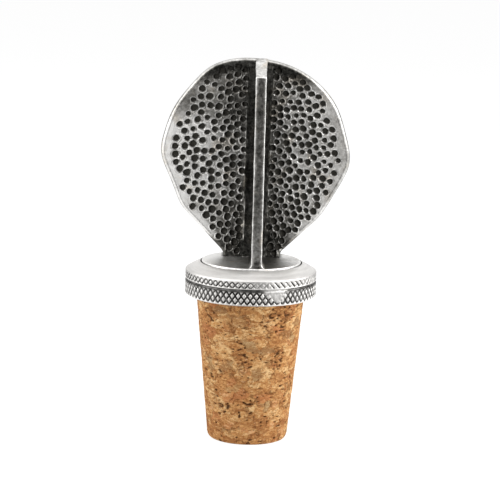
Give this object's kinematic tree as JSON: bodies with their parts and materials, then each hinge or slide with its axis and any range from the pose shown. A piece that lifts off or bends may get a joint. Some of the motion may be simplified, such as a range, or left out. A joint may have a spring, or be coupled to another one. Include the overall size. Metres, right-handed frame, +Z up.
{
  "type": "bottle stopper",
  "caption": "Bottle stopper: a round dished metal head with a pitted face and a gusset rib, on a knurled collar above a tapered cork plug.",
  "frame": {"origin": "centre of the cork's flat foot", "axes": "+Z up along the cork's axis to the head, -Y towards the pitted face and the gusset rib, +X to the right of that face"},
  "size_m": [0.04, 0.0278, 0.0812],
  "materials": {
    "cast_pewter": "satin",
    "turned_metal": "satin",
    "cork": "matte"
  },
  "bodies": {
    "root": {"head": "cast_pewter", "collar": "turned_metal", "cork": "cork"}
  },
  "joints": []
}
